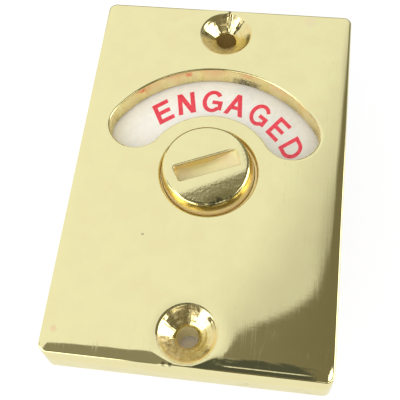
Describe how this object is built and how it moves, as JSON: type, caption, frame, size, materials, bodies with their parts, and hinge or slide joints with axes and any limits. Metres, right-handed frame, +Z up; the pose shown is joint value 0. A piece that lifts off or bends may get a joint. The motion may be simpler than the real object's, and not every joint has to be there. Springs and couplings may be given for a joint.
{
  "type": "toilet door indicator plate",
  "caption": "Rectangular brass toilet door indicator plate with an arched window over a lettered dial, a slotted coin-release turn and a square spindle through the door.",
  "frame": {"origin": "middle of the two screw holes on the plate's back face, which is also the plate's centre", "axes": "+Z up along the plate's long side, the front faces -Y, +Y points into the door, +X to the right as seen from the front"},
  "size_m": [0.051, 0.0617, 0.076],
  "materials": {
    "polished_brass": "polished casting with fine wheel marks and small pits",
    "rolled_brass": "plain rolled sheet",
    "white_enamel": "glossy white with printed words",
    "nylon": "natural",
    "spring_steel": "blued and lightly oiled",
    "bright_steel": "bright drawn bar"
  },
  "bodies": {
    "plate": {"face_plate": "polished_brass", "seat_washer": "nylon", "stop_pin": "bright_steel"},
    "turning_set": {"release_turn": "polished_brass", "dial_face": "white_enamel", "dial_disc": "rolled_brass", "crinkle_washer": "spring_steel", "back_washer": "rolled_brass", "circlip": "spring_steel", "spindle": "bright_steel", "spindle_pin": "bright_steel"}
  },
  "joints": [
    {"name": "turn_and_dial", "type": "hinge", "parent": "plate", "child": "turning_set", "pos_m": [0, 0, -0.0005], "axis": [0, 1, 0], "range_deg": [-180, 0]}
  ]
}
